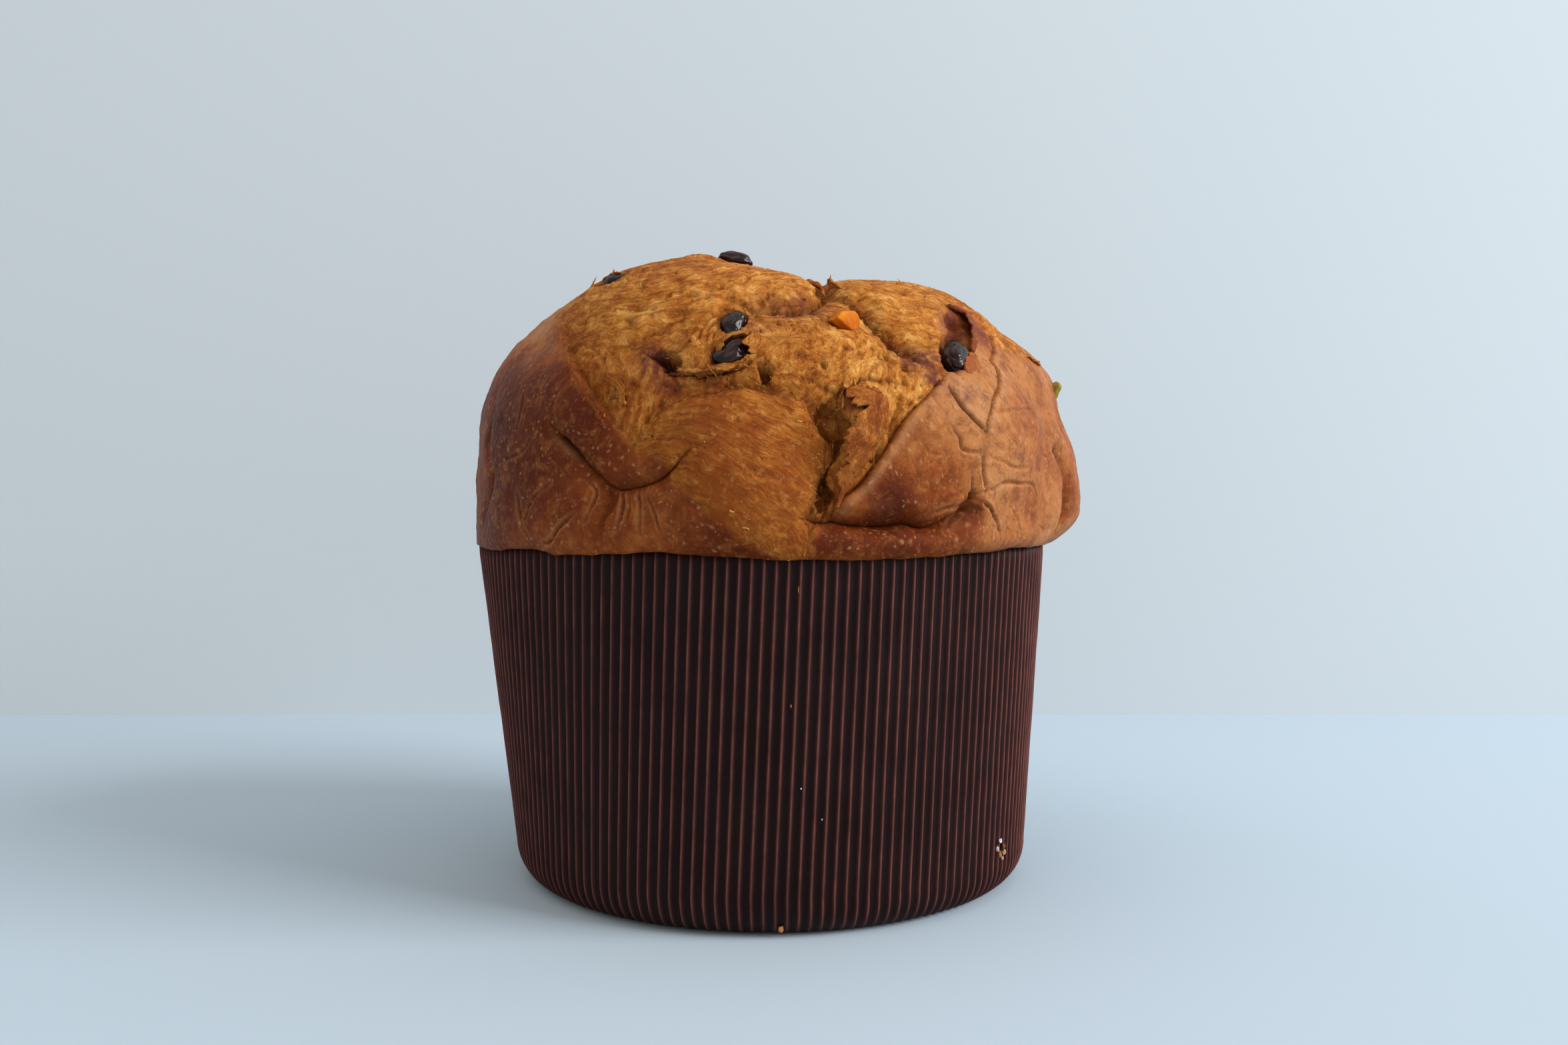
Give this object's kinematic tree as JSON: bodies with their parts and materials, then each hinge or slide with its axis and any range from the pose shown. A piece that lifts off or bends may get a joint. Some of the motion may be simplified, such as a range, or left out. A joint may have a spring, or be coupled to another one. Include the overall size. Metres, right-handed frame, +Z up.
{
  "type": "panettone",
  "caption": "Tall domed sweet loaf with a torn, folded crown and dried fruit, baked in a dark fluted paper case.",
  "frame": {"origin": "centre of the case's flat base, on the surface it stands on", "axes": "+Z up; -Y is the front, where the crown has torn open; +X is the viewer's right from the front"},
  "size_m": [0.2023, 0.2087, 0.2035],
  "materials": {
    "case_paper": "waxed dark brown fluted paper",
    "crust": "baked crust, satin, dark brown where it browned most",
    "raisin": "wrinkled, faintly glossy dried grape",
    "candied_peel": "translucent sugared peel"
  },
  "bodies": {
    "root": {"paper_case": "case_paper", "loaf": "crust", "raisin_crest": "raisin", "raisin_shoulder": "raisin", "raisin_upper": "raisin", "raisin_lower": "raisin", "raisin_right": "raisin", "raisin_back_left": "raisin", "raisin_back": "raisin", "raisin_back_right": "raisin", "peel_front": "candied_peel", "peel_side": "candied_peel", "peel_back": "candied_peel", "peel_left": "candied_peel"}
  },
  "joints": []
}
